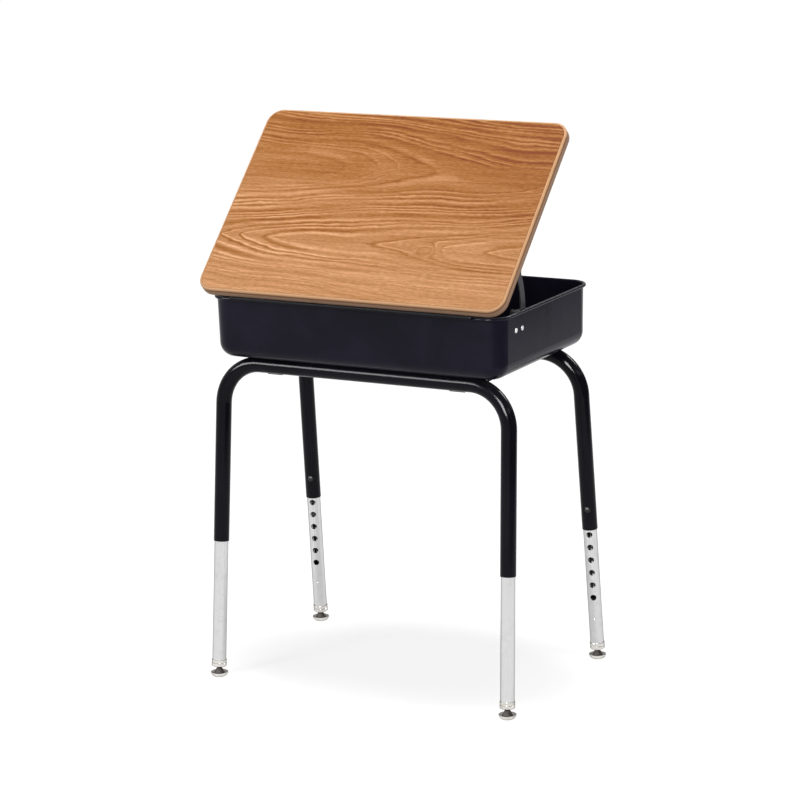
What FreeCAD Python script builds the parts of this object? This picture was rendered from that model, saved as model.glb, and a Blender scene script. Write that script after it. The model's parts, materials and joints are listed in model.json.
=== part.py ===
import FreeCAD, Part
import math
import os

# Study desk: a lift-up lid on a drawn steel book box, on two bent tube frames with adjustable legs.
# X runs across the desk and +X is at the sitter's right hand. The sitter is on the -Y side and the
# lid hinges on the +Y side. Z is up from the floor, and the origin is midway between the four glides.
# Lengths are in millimetres and angles in degrees. The lid stands open, and the legs are one step
# short of their longest setting.

# Stance: how far outside the book box each leg line meets the floor, and how far it leans in
FOOT_SPREAD = 6.7
LEAN_ACROSS = 0.87
LEAN_DEEP = 4.75

# Bent frames of the upper tube
RUN_HEIGHT = 584.7
BEND_RADIUS = 76.0
UPPER_TUBE_DIAMETER = 28.6
UPPER_TUBE_WALL = 1.25
UPPER_TUBE_END = 254.5

# Lower legs, which slide in the upper tubes and have one row of holes
LOWER_TUBE_DIAMETER = 25.4
LOWER_TUBE_WALL = 1.6
LOWER_TUBE_HEADROOM = 10.0
HOLE_PITCH = 24.6
HOLE_DIAMETER = 11.1
HOLES_FOR_LOWER = 7
HOLES_FOR_HIGHER = 1
HOLE_TURN = 17.0
DIMPLE_DIAMETER = 5.0
DIMPLE_DROP = 40.0
DIMPLE_DEPTH = 0.7

# Adjusting screws through the upper tubes
ADJUSTER_RISE = 40.4
ADJUSTER_SHANK_DIAMETER = 6.3
ADJUSTER_HEAD_DIAMETER = 10.0
ADJUSTER_HEAD_HEIGHT = 3.4
ADJUSTER_SOCKET = 4.0
ADJUSTER_SOCKET_DEPTH = 2.2

# Glides: a cap on the tube end, a ball stud, a rubber cushion and a domed base
COLLAR_HEIGHT = 12.4
COLLAR_ABOVE_FLOOR = 19.6
COLLAR_WALL = 0.9
COLLAR_PLATE = 2.0
COLLAR_EDGE = 0.8
COLLAR_GROOVE_RISE = 6.6
COLLAR_GROOVE_DEPTH = 0.5
SOCKET_OUTER_RADIUS = 8.0
SOCKET_RISE = 9.0
BALL_RADIUS = 5.0
BALL_CLEARANCE = 0.3
BALL_RISE = 3.8
STUD_NECK_RADIUS = 2.4
CUSHION_TOP_HEIGHT = 18.0
CUSHION_TOP_RADIUS = 3.4
CUSHION_FOOT_RADIUS = 9.8
GLIDE_RADIUS = 15.8
GLIDE_FLAT_RADIUS = 9.5
GLIDE_RIM_HEIGHT = 8.4
GLIDE_RIM_THICKNESS = 1.2
GLIDE_DISH_HEIGHT = 7.6

# Book box: a drawn pan with drafted walls, a rolled rim and a flat floor on the tube runs
BOX_SHIFT_Y = -3.1
BOX_CORNER = 36.0
BOX_HEIGHT = 114.0
BOX_FILLET = 27.0
BOX_DRAFT = 1.2
SHEET = 1.0
RIM_DIAMETER = 6.0
RIM_TURN = 270.0

# Cross straps under the runs and the tabs that carry the box
STRAP_INSET = 105.5
STRAP_WIDTH = 30.0
STRAP_THICKNESS = 3.5
STRAP_BITE = 1.0
STRAP_END_INSET = 3.0
TAB_INSET = 56.5
TAB_LENGTH = 34.0
TAB_THICKNESS = 3.0
TAB_REACH = 30.0
TAB_CORNER = 4.0
BOX_SCREW_DIAMETER = 5.0
BOX_SCREW_HEAD = 10.0
BOX_SCREW_HEAD_HEIGHT = 2.8
BOX_SCREW_TAIL = 3.0
BOX_NUT_FLATS = 8.0
BOX_NUT_HEIGHT = 4.0
BOX_SCREW_INSET = 18.0

# Continuous hinge outside the rim
HINGE_STANDOFF = 7.3
HINGE_END_INSET = 64.8
HINGE_KNUCKLES = 19
KNUCKLE_DIAMETER = 6.4
KNUCKLE_END_GAP = 0.4
KNUCKLE_SIDE_GAP = 0.4
HINGE_PIN_DIAMETER = 3.2
PIN_RUNNING_CLEARANCE = 0.06
LEAF_THICKNESS = 1.0
LEAF_GAP = 0.3
BOX_LEAF_DROP = 14.0
LID_LEAF_WIDTH = 30.0
HINGE_SCREWS = 7
HINGE_SCREW_INSET = 9.0

# Lid: laminate on a core with a backing sheet, and a rounded band tongued into the core's edge
LID_WIDTH = 609.6
LID_DEPTH = 406.4
LID_THICKNESS = 19.05
LID_CORNER = 30.0
LID_SETBACK = 1.6
LID_SIDE_OVERHANG = 15.3
LID_END_OVERHANG = 19.4
LID_OPEN_ANGLE = 44.6
LID_STOP_ANGLE = 46.5
LAMINATE = 0.9
BAND_CROWN = 4.5
BAND_ROUND = 4.0
BAND_TONGUE_DEPTH = 9.0
BAND_TONGUE_THICKNESS = 1.8
GROOVE_CLEARANCE = 0.2
BUMPER_INSET = 84.8
BUMPER_DIAMETER = 6.0
BUMPER_REST_GAP = 0.3

# Lid stays: an arm that curves about the hinge line and slides between two pads
STAY_INSET = 9.5
STAY_RADIUS = 123.0
STAY_WIDTH = 16.5
STAY_THICKNESS = 2.5
STAY_ROOT_NEAR = 18.0
STAY_ROOT_FAR = 32.0
STAY_ROOT_DEPTH = 11.0
STAY_ROOT_ANGLE = 18.0
STAY_BEND_INNER = 1.5
STAY_EAR_WIDTH = 18.0
STAY_EAR_REACH = 18.0
STAY_NOTCH_WIDTH = 2.0
STAY_TOP_GAP = 0.3
STAY_SCREW_INSET = 8.5
HOOK_DEPTH = 7.0
HOOK_GAP = 0.3

# Stay clamps: disc springs on a pin press a lever, and the lever presses the arm between the pads
PAD_DROP = 9.5
PAD_DIAMETER = 12.0
PAD_THICKNESS = 1.6
PAD_GAP = 0.15
PAD_SPIGOT_DIAMETER = 5.0
LEVER_WIDTH = 9.0
LEVER_THICKNESS = 1.6
HEEL_REACH = 12.5
HEEL_THICKNESS = 2.0
CLAMP_PIN_REACH = 24.0
CLAMP_PIN_RISE = 2.0
CLAMP_PIN_DIAMETER = 6.0
CLAMP_PIN_HEAD = 10.0
CLAMP_PIN_HEAD_HEIGHT = 2.6
CLAMP_PIN_TAIL = 8.5
CLAMP_PIN_TAIL_HEIGHT = 1.6
SPRING_DIAMETER = 11.8
SPRING_COUNT = 3
SPRING_STOCK = 0.8
SPRING_CONE = 0.6

# Brackets that carry the clamps, each on two rivets through the side wall
BRACKET_THICKNESS = 2.0
BRACKET_END_RADIUS = 8.5
BRACKET_MARGIN = 12.0
BRACKET_BEND_DROP = 15.0
BRACKET_FAR_MARGIN = 5.0
RIVET_OFFSETS = (-3.5, 21.0)
RIVET_DROP = 26.0
RIVET_SHANK = 4.4
RIVET_HEAD = 8.4
RIVET_HEAD_HEIGHT = 2.0
RIVET_TAIL = 7.0
RIVET_TAIL_HEIGHT = 1.5

# Wood screws into the lid core
WOOD_SCREW_SHANK = 3.6
WOOD_SCREW_HEAD = 7.0
WOOD_SCREW_HEAD_HEIGHT = 2.0
WOOD_SCREW_LENGTH = 11.0

# Cross recesses in the domed screw heads
RECESS_SPAN = 4.0
RECESS_WIDTH = 0.9
RECESS_DEPTH = 1.3

# Shared values
HOLE_CLEARANCE = 0.1
OVERRUN = 5.0
DOME_SHARE = 0.55
UP = FreeCAD.Vector(0, 0, 1)
RIGHT = FreeCAD.Vector(1, 0, 0)
FAR = FreeCAD.Vector(0, 1, 0)
ORIGIN = FreeCAD.Vector(0, 0, 0)
SIDE_NAMES = {-1: "left", 1: "right"}
END_NAMES = {-1: "front", 1: "rear"}

# Sizes worked out from the driving dimensions
UPPER_RADIUS = UPPER_TUBE_DIAMETER / 2
UPPER_BORE_RADIUS = UPPER_RADIUS - UPPER_TUBE_WALL
LOWER_RADIUS = LOWER_TUBE_DIAMETER / 2
BOX_BOTTOM = RUN_HEIGHT + UPPER_RADIUS
RIM_TOP = BOX_BOTTOM + BOX_HEIGHT
RIM_RADIUS = RIM_DIAMETER / 2
RIM_BORE_RADIUS = RIM_RADIUS - SHEET
RIM_PROUD = RIM_DIAMETER - SHEET
BOX_HALF_X = LID_WIDTH / 2 - LID_SIDE_OVERHANG
BOX_HALF_Y = LID_DEPTH / 2 - LID_END_OVERHANG
FOOT_X = BOX_HALF_X + FOOT_SPREAD
FOOT_Y = BOX_HALF_Y + FOOT_SPREAD
STRAP_X = BOX_HALF_X - STRAP_INSET
TAB_X = BOX_HALF_X - TAB_INSET
HINGE_LENGTH = LID_WIDTH - 2 * HINGE_END_INSET
BUMPER_X = LID_WIDTH / 2 - BUMPER_INSET
KNUCKLE_RADIUS = KNUCKLE_DIAMETER / 2
HINGE_OUT = RIM_PROUD + HINGE_STANDOFF
HINGE_Y = BOX_SHIFT_Y + BOX_HALF_Y + HINGE_OUT
HINGE_Z = RIM_TOP + LEAF_THICKNESS + LEAF_GAP / 2
LID_LIFT = LEAF_GAP / 2 + LEAF_THICKNESS
STAY_X = BOX_HALF_X - STAY_INSET
STAY_OUTER_X = STAY_X + STAY_THICKNESS / 2
STAY_INNER_X = STAY_X - STAY_THICKNESS / 2
PAD_ANGLE = math.degrees(math.asin(PAD_DROP / STAY_RADIUS))
PAD_Y = HINGE_Y - STAY_RADIUS * math.cos(math.radians(PAD_ANGLE))
PAD_Z = HINGE_Z - PAD_DROP
CLAMP_PIN_RADIUS = CLAMP_PIN_DIAMETER / 2
CLAMP_PIN_Y = PAD_Y + CLAMP_PIN_REACH
CLAMP_PIN_Z = PAD_Z + CLAMP_PIN_RISE
CLAMP_PIN_ARM = math.hypot(HINGE_Y - CLAMP_PIN_Y, HINGE_Z - CLAMP_PIN_Z)
CLAMP_PIN_ANGLE = math.degrees(math.asin((HINGE_Z - CLAMP_PIN_Z) / CLAMP_PIN_ARM))
BRACKET_INNER_X = STAY_OUTER_X + PAD_GAP + PAD_THICKNESS
LEVER_OUTER_X = STAY_INNER_X - PAD_GAP - PAD_THICKNESS
LEVER_INNER_X = LEVER_OUTER_X - LEVER_THICKNESS
SPRING_PITCH = SPRING_STOCK + SPRING_CONE
SPRING_START_X = LEVER_INNER_X - SPRING_COUNT * SPRING_PITCH
RIVET_HEIGHT = CLAMP_PIN_Z - RIVET_DROP
RIVET_PLACES_Y = [CLAMP_PIN_Y + offset for offset in RIVET_OFFSETS]


def vec(x, y, z):
    return FreeCAD.Vector(x, y, z)


def leg_point(side, end, height):
    """Point of a leg's centre line at a height; side is -1 left or 1 right, end is -1 front or 1 rear."""
    x = FOOT_X - height * math.tan(math.radians(LEAN_ACROSS))
    y = FOOT_Y - height * math.tan(math.radians(LEAN_DEEP))
    return vec(side * x, end * y, height)


def leg_direction(side, end):
    return (leg_point(side, end, RUN_HEIGHT) - leg_point(side, end, 0)).normalize()


def leg_frame(side, end, height):
    """Placement on a leg line: local Z runs up the leg and local X looks out of the row of holes."""
    up = leg_direction(side, end)
    look = FreeCAD.Rotation(UP, HOLE_TURN).multVec(vec(0, -end, 0))
    turned = FreeCAD.Rotation(look, up.cross(look), up, "ZXY")
    return FreeCAD.Placement(leg_point(side, end, height), turned)


def closed_face(edges):
    return Part.Face(Part.Wire(edges))


def line(start, end):
    return Part.LineSegment(start, end).toShape()


def arc(start, middle, end):
    return Part.Arc(start, middle, end).toShape()


def turned_solid(points, axis=UP, base=ORIGIN):
    """Solid turned about an axis from a closed outline of straight lines."""
    outline = Part.Face(Part.makePolygon(points + [points[0]]))
    return outline.revolve(base, axis, 360)


def drum(radius, height, base=ORIGIN, axis=UP):
    return Part.makeCylinder(radius, height, base, axis)


def hexagon(flats, height, base, axis):
    """Hexagonal prism, flats across, standing on base along axis."""
    reach = flats / 2 / math.cos(math.radians(30))
    corners = [vec(reach * math.cos(math.radians(60 * i)), reach * math.sin(math.radians(60 * i)), 0)
               for i in range(7)]
    prism = Part.Face(Part.makePolygon(corners)).extrude(UP * height)
    prism.Placement = FreeCAD.Placement(base, FreeCAD.Rotation(UP, axis))
    return prism


def domed_head(radius, height, base, axis):
    """Button head: a short drum under a spherical dome."""
    skirt = height * (1 - DOME_SHARE)
    dome = height - skirt
    ball_radius = (radius ** 2 + dome ** 2) / (2 * dome)
    ball = Part.makeSphere(ball_radius, UP * (height - ball_radius))
    head = drum(radius, height).common(ball)
    head.Placement = FreeCAD.Placement(base, FreeCAD.Rotation(UP, axis))
    return head


def recessed_head(radius, height, base, axis):
    """Domed head with a cross recess sunk into its crown."""
    span = RECESS_SPAN / 2
    half = RECESS_WIDTH / 2
    floor = height - RECESS_DEPTH
    bars = [Part.makeBox(RECESS_SPAN, RECESS_WIDTH, RECESS_DEPTH, vec(-span, -half, floor)),
            Part.makeBox(RECESS_WIDTH, RECESS_SPAN, RECESS_DEPTH, vec(-half, -span, floor))]
    head = domed_head(radius, height, ORIGIN, UP).cut(bars)
    head.Placement = FreeCAD.Placement(base, FreeCAD.Rotation(UP, axis))
    return head


def joined(solids):
    return solids[0].fuse(solids[1:]).removeSplitter()


def mirrored(shape, side):
    """The shape as modelled for the right side, or its mirror image for the left."""
    return shape if side > 0 else shape.mirror(ORIGIN, RIGHT)


def ring_of(profile, half_x, half_y, corner, centre_y, base_z):
    """Carry a profile round a rounded rectangle: its local X points out and its local Z up."""
    pieces = []
    for quarter in range(4):
        out, along = (half_x, half_y) if quarter % 2 == 0 else (half_y, half_x)
        straight = profile.translated(vec(out, corner - along, 0)).extrude(vec(0, 2 * (along - corner), 0))
        start = profile.translated(vec(out, along - corner, 0))
        bend = start.revolve(vec(out - corner, along - corner, 0), UP, 90)
        for piece in (straight, bend):
            piece.rotate(ORIGIN, UP, 90 * quarter)
            pieces.append(piece.translated(vec(0, centre_y, base_z)))
    return pieces


def rounded_plate(half_x, half_y, corner, centre_y, base_z, thickness):
    """Flat plate with rounded corners, built from its straight sides and quarter arcs."""
    edges = []
    slant = corner * (1 - math.cos(math.radians(45)))
    for quarter in range(4):
        turn = FreeCAD.Rotation(UP, 90 * quarter)
        out, along = (half_x, half_y) if quarter % 2 == 0 else (half_y, half_x)
        first = turn.multVec(vec(out, corner - along, 0))
        second = turn.multVec(vec(out, along - corner, 0))
        middle = turn.multVec(vec(out - slant, along - slant, 0))
        third = turn.multVec(vec(out - corner, along, 0))
        edges.append(line(first, second))
        edges.append(arc(second, middle, third))
    plate = closed_face(edges).extrude(UP * thickness)
    return plate.translated(vec(0, centre_y, base_z))


# Tube frames

def frame_path(end):
    """Centre line of one bent frame: up one leg, across the run and down the other leg."""
    feet = [leg_point(side, end, UPPER_TUBE_END) for side in (-1, 1)]
    corners = [leg_point(side, end, RUN_HEIGHT) for side in (-1, 1)]
    tangents = []
    bends = []
    for foot, corner, other in zip(feet, corners, reversed(corners)):
        down = (foot - corner).normalize()
        across = (other - corner).normalize()
        half = down.getAngle(across) / 2
        inward = (down + across).normalize()
        setback = BEND_RADIUS / math.tan(half)
        centre = corner + inward * (BEND_RADIUS / math.sin(half))
        tangents.append((corner + down * setback, corner + across * setback))
        bends.append(centre - inward * BEND_RADIUS)
    left, right = tangents
    return [line(feet[0], left[0]),
            arc(left[0], bends[0], left[1]),
            line(left[1], right[1]),
            arc(right[1], bends[1], right[0]),
            line(right[0], feet[1])]


def rod_along(path, radius, start, direction):
    ring = Part.Wire(Part.makeCircle(radius, start, direction))
    return Part.Wire(path).makePipeShell([ring], True, False)


def frame_rod(end, radius):
    start = leg_point(-1, end, UPPER_TUBE_END)
    return rod_along(frame_path(end), radius, start, leg_direction(-1, end))


def leg_frame_tube(end):
    tube = frame_rod(end, UPPER_RADIUS).cut(frame_rod(end, UPPER_BORE_RADIUS))
    for side in (-1, 1):
        hole = drum(ADJUSTER_SHANK_DIAMETER / 2 + HOLE_CLEARANCE, UPPER_TUBE_DIAMETER, ORIGIN, RIGHT)
        hole.Placement = leg_frame(side, end, UPPER_TUBE_END) * FreeCAD.Placement(
            UP * ADJUSTER_RISE, FreeCAD.Rotation()) * hole.Placement
        tube = tube.cut(hole)
    return tube


def adjusting_screw(side, end):
    """Socket screw whose shank ends flush with the upper tube's bore, just clear of the lower tube."""
    shank = drum(ADJUSTER_SHANK_DIAMETER / 2, UPPER_TUBE_WALL, vec(UPPER_BORE_RADIUS, 0, 0), RIGHT)
    head = domed_head(ADJUSTER_HEAD_DIAMETER / 2, ADJUSTER_HEAD_HEIGHT, vec(UPPER_RADIUS, 0, 0), RIGHT)
    floor_of_socket = UPPER_RADIUS + ADJUSTER_HEAD_HEIGHT - ADJUSTER_SOCKET_DEPTH
    socket = hexagon(ADJUSTER_SOCKET, ADJUSTER_HEAD_HEIGHT, vec(floor_of_socket, 0, 0), RIGHT)
    screw = shank.fuse(head).cut(socket).removeSplitter()
    screw.Placement = leg_frame(side, end, UPPER_TUBE_END) * FreeCAD.Placement(
        UP * ADJUSTER_RISE, FreeCAD.Rotation())
    return screw


def cross_strap(side, rods):
    """Flat bar welded under both runs, with its ends coped to the tubes."""
    half_length = leg_point(1, 1, RUN_HEIGHT).y - STRAP_END_INSET
    low = RUN_HEIGHT - UPPER_RADIUS + STRAP_BITE - STRAP_THICKNESS
    corner = vec(side * STRAP_X - STRAP_WIDTH / 2, -half_length, low)
    strap = Part.makeBox(STRAP_WIDTH, 2 * half_length, STRAP_THICKNESS, corner)
    return strap.cut(rods)


def tab_hole_place(side, end):
    run_y = leg_point(1, 1, RUN_HEIGHT).y
    return vec(side * TAB_X, end * (run_y - BOX_SCREW_INSET), BOX_BOTTOM)


def box_tab(side, end, rods):
    """Plate under the box floor, welded to the inner flank of the tube and coped round it."""
    run_y = leg_point(1, 1, RUN_HEIGHT).y
    near = run_y - TAB_REACH
    low = BOX_BOTTOM - TAB_THICKNESS
    tab = Part.makeBox(TAB_LENGTH, TAB_REACH, TAB_THICKNESS, vec(TAB_X - TAB_LENGTH / 2, near, low))
    upright = [edge for edge in tab.Edges if abs(edge.Length - TAB_THICKNESS) < HOLE_CLEARANCE]
    rounded = [edge for edge in upright if edge.CenterOfMass.y < run_y - BOX_SCREW_INSET]
    tab = tab.makeFillet(TAB_CORNER, rounded)
    hole = drum(BOX_SCREW_DIAMETER / 2 + HOLE_CLEARANCE, TAB_THICKNESS + 2 * OVERRUN,
                vec(TAB_X, run_y - BOX_SCREW_INSET, low - OVERRUN))
    tab = tab.cut(hole)
    if end < 0:
        tab = tab.mirror(ORIGIN, FAR)
    return mirrored(tab, side).cut(rods)


def box_screw(side, end):
    """Screw from inside the box, down through its floor, the tab and the nut."""
    place = tab_hole_place(side, end)
    length = SHEET + TAB_THICKNESS + BOX_NUT_HEIGHT + BOX_SCREW_TAIL
    top = place + UP * SHEET
    shank = drum(BOX_SCREW_DIAMETER / 2, length, top, UP * -1)
    head = recessed_head(BOX_SCREW_HEAD / 2, BOX_SCREW_HEAD_HEIGHT, top, UP)
    return joined([shank, head])


def box_nut(side, end):
    place = tab_hole_place(side, end) - UP * (TAB_THICKNESS + BOX_NUT_HEIGHT)
    nut = hexagon(BOX_NUT_FLATS, BOX_NUT_HEIGHT, place, UP)
    return nut.cut(drum(BOX_SCREW_DIAMETER / 2 + HOLE_CLEARANCE, BOX_NUT_HEIGHT, place))


# Lower legs and glides: local heights are along the leg from where its line meets the floor

def along_leg(height):
    return height / leg_direction(1, 1).z


def lower_leg(side, end):
    """Round tube with one hole for each height setting and a dimple near the foot."""
    adjuster = along_leg(UPPER_TUBE_END) + ADJUSTER_RISE
    bottom = along_leg(COLLAR_ABOVE_FLOOR) + COLLAR_PLATE
    top = adjuster + HOLES_FOR_HIGHER * HOLE_PITCH + LOWER_TUBE_HEADROOM
    tube = drum(LOWER_RADIUS, top - bottom, UP * bottom)
    tube = tube.cut(drum(LOWER_RADIUS - LOWER_TUBE_WALL, top - bottom, UP * bottom))
    holes = [drum(HOLE_DIAMETER / 2, LOWER_TUBE_DIAMETER, UP * (adjuster + step * HOLE_PITCH), RIGHT)
             for step in range(-HOLES_FOR_LOWER, HOLES_FOR_HIGHER + 1)]
    dimple_height = adjuster - HOLES_FOR_LOWER * HOLE_PITCH - DIMPLE_DROP
    dimple_reach = LOWER_RADIUS - DIMPLE_DEPTH + DIMPLE_DIAMETER
    dimple = Part.makeSphere(DIMPLE_DIAMETER, vec(dimple_reach, 0, dimple_height))
    tube = tube.cut(holes + [dimple])
    tube.Placement = leg_frame(side, end, 0)
    return tube


def glide_collar(side, end):
    """Plated cap over the tube end, with a groove round it and the ball socket turned inside it."""
    bottom = along_leg(COLLAR_ABOVE_FLOOR)
    outer = LOWER_RADIUS + COLLAR_WALL
    points = [vec(0, 0, 0),
              vec(outer - COLLAR_EDGE, 0, 0),
              vec(outer, 0, COLLAR_EDGE),
              vec(outer, 0, COLLAR_GROOVE_RISE - COLLAR_GROOVE_DEPTH),
              vec(outer - COLLAR_GROOVE_DEPTH, 0, COLLAR_GROOVE_RISE),
              vec(outer, 0, COLLAR_GROOVE_RISE + COLLAR_GROOVE_DEPTH),
              vec(outer, 0, COLLAR_HEIGHT),
              vec(LOWER_RADIUS, 0, COLLAR_HEIGHT),
              vec(LOWER_RADIUS, 0, COLLAR_PLATE),
              vec(SOCKET_OUTER_RADIUS, 0, COLLAR_PLATE),
              vec(SOCKET_OUTER_RADIUS, 0, SOCKET_RISE),
              vec(0, 0, SOCKET_RISE)]
    cap = turned_solid(points)
    cavity = BALL_RADIUS + BALL_CLEARANCE
    cap = cap.cut([Part.makeSphere(cavity, UP * BALL_RISE), drum(cavity, SOCKET_RISE, UP * BALL_RISE)])
    mouth = math.sqrt(cavity ** 2 - BALL_RISE ** 2)
    cap = cap.cut(drum(mouth, BALL_RISE))
    cap.Placement = leg_frame(side, end, 0) * FreeCAD.Placement(UP * bottom, FreeCAD.Rotation())
    return cap


def glide_pivot(side, end):
    """Centre of the ball: the glide tilts about it."""
    reach = along_leg(COLLAR_ABOVE_FLOOR) + BALL_RISE
    return leg_point(side, end, 0) + leg_direction(side, end) * reach


def glide_foot(side, end):
    pivot = glide_pivot(side, end)
    return vec(pivot.x, pivot.y, 0)


def glide_stud(side, end):
    """Ball and neck, upright on the base."""
    height = glide_pivot(side, end).z
    ball = Part.makeSphere(BALL_RADIUS, UP * height)
    neck = drum(STUD_NECK_RADIUS, height - GLIDE_DISH_HEIGHT, UP * GLIDE_DISH_HEIGHT)
    return joined([ball, neck]).translated(glide_foot(side, end))


def glide_cushion(side, end):
    """Rubber cone between the base and the cap, round the neck."""
    points = [vec(STUD_NECK_RADIUS, 0, GLIDE_DISH_HEIGHT),
              vec(CUSHION_FOOT_RADIUS, 0, GLIDE_DISH_HEIGHT),
              vec(CUSHION_TOP_RADIUS, 0, CUSHION_TOP_HEIGHT),
              vec(STUD_NECK_RADIUS, 0, CUSHION_TOP_HEIGHT)]
    return turned_solid(points).translated(glide_foot(side, end))


def glide_base(side, end):
    """Plated base: flat where it stands, domed out to a thin rim, with a shallow dish on top."""
    middle_share = 0.62
    flat = vec(GLIDE_FLAT_RADIUS, 0, 0)
    rim_low = vec(GLIDE_RADIUS, 0, GLIDE_RIM_HEIGHT - GLIDE_RIM_THICKNESS)
    bulge = vec(flat.x + (rim_low.x - flat.x) * middle_share, 0, rim_low.z * (1 - middle_share))
    rim_high = vec(GLIDE_RADIUS, 0, GLIDE_RIM_HEIGHT)
    inner_rim = vec(GLIDE_RADIUS - GLIDE_RIM_THICKNESS, 0, GLIDE_RIM_HEIGHT)
    dish = vec(CUSHION_FOOT_RADIUS, 0, GLIDE_DISH_HEIGHT)
    centre = vec(0, 0, GLIDE_DISH_HEIGHT)
    outline = closed_face([line(ORIGIN, flat),
                           arc(flat, bulge, rim_low),
                           line(rim_low, rim_high),
                           line(rim_high, inner_rim),
                           line(inner_rim, dish),
                           line(dish, centre),
                           line(centre, ORIGIN)])
    return outline.revolve(ORIGIN, UP, 360).translated(glide_foot(side, end))


# Book box: its section is drawn with X pointing out from the wall's outer face at the rim

WALL_UP = vec(math.sin(math.radians(BOX_DRAFT)), 0, math.cos(math.radians(BOX_DRAFT)))
WALL_OUT = vec(WALL_UP.z, 0, -WALL_UP.x)
RIM_CENTRE = vec(RIM_BORE_RADIUS * WALL_OUT.x, 0, BOX_HEIGHT - RIM_RADIUS)
WALL_TOP = RIM_CENTRE - WALL_OUT * RIM_BORE_RADIUS


def wall_inner_x(height):
    """X of the side wall's inner face at a height above the floor."""
    drop = BOX_BOTTOM + WALL_TOP.z - height
    return BOX_HALF_X - SHEET / WALL_OUT.x - drop * math.tan(math.radians(BOX_DRAFT))


def box_section():
    """Section of the pan from the corner's centre out: floor, fillet, drafted wall and rolled rim."""
    fillet_x = (WALL_TOP.dot(WALL_OUT) - BOX_FILLET + BOX_FILLET * WALL_UP.x) / WALL_OUT.x
    fillet = vec(fillet_x, 0, BOX_FILLET)
    slant = (WALL_OUT - UP).normalize()
    inner = BOX_FILLET - SHEET
    turn = FreeCAD.Rotation(FAR, RIM_TURN)
    half_turn = FreeCAD.Rotation(FAR, RIM_TURN / 2)
    start = WALL_OUT * -1
    middle = half_turn.multVec(start)
    finish = turn.multVec(start)
    edges = [line(vec(-BOX_CORNER, 0, 0), vec(fillet.x, 0, 0)),
             arc(vec(fillet.x, 0, 0), fillet + slant * BOX_FILLET, fillet + WALL_OUT * BOX_FILLET),
             line(fillet + WALL_OUT * BOX_FILLET, WALL_TOP),
             arc(WALL_TOP, RIM_CENTRE + middle * RIM_BORE_RADIUS, RIM_CENTRE + finish * RIM_BORE_RADIUS),
             line(RIM_CENTRE + finish * RIM_BORE_RADIUS, RIM_CENTRE + finish * RIM_RADIUS),
             arc(RIM_CENTRE + finish * RIM_RADIUS, RIM_CENTRE + middle * RIM_RADIUS,
                 RIM_CENTRE + start * RIM_RADIUS),
             line(RIM_CENTRE + start * RIM_RADIUS, fillet + WALL_OUT * inner),
             arc(fillet + WALL_OUT * inner, fillet + slant * inner, vec(fillet.x, 0, SHEET)),
             line(vec(fillet.x, 0, SHEET), vec(-BOX_CORNER, 0, SHEET)),
             line(vec(-BOX_CORNER, 0, SHEET), vec(-BOX_CORNER, 0, 0))]
    return closed_face(edges)


def book_box():
    walls = ring_of(box_section(), BOX_HALF_X, BOX_HALF_Y, BOX_CORNER, BOX_SHIFT_Y, BOX_BOTTOM)
    floor_x = BOX_HALF_X - BOX_CORNER
    floor_y = BOX_HALF_Y - BOX_CORNER
    floor = Part.makeBox(2 * floor_x, 2 * floor_y, SHEET, vec(-floor_x, BOX_SHIFT_Y - floor_y, BOX_BOTTOM))
    pan = joined([floor] + walls)
    holes = []
    for side in (-1, 1):
        for end in (-1, 1):
            place = tab_hole_place(side, end) - UP * OVERRUN
            holes.append(drum(BOX_SCREW_DIAMETER / 2 + HOLE_CLEARANCE, SHEET + 2 * OVERRUN, place))
        holes.extend(mirrored(rivet_hole(y), side) for y in RIVET_PLACES_Y)
    return pan.cut(holes)


# Stay brackets and their rivets, modelled at the right side wall

def rivet_place(y):
    """Point on the wall's inner face, and the direction square to the wall."""
    return vec(wall_inner_x(RIVET_HEIGHT), y, RIVET_HEIGHT), WALL_OUT


def rivet_hole(y):
    place, out = rivet_place(y)
    return drum(RIVET_SHANK / 2 + HOLE_CLEARANCE, SHEET + BRACKET_THICKNESS + 2 * OVERRUN,
                place - out * (BRACKET_THICKNESS + OVERRUN), out)


def bracket_rivet(y):
    place, out = rivet_place(y)
    grip = SHEET + BRACKET_THICKNESS
    inner = place - out * BRACKET_THICKNESS
    shank = drum(RIVET_SHANK / 2, grip, inner, out)
    head = domed_head(RIVET_HEAD / 2, RIVET_HEAD_HEIGHT, inner + out * grip, out)
    tail = drum(RIVET_TAIL / 2, RIVET_TAIL_HEIGHT, inner, out * -1)
    return joined([shank, head, tail])


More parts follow.
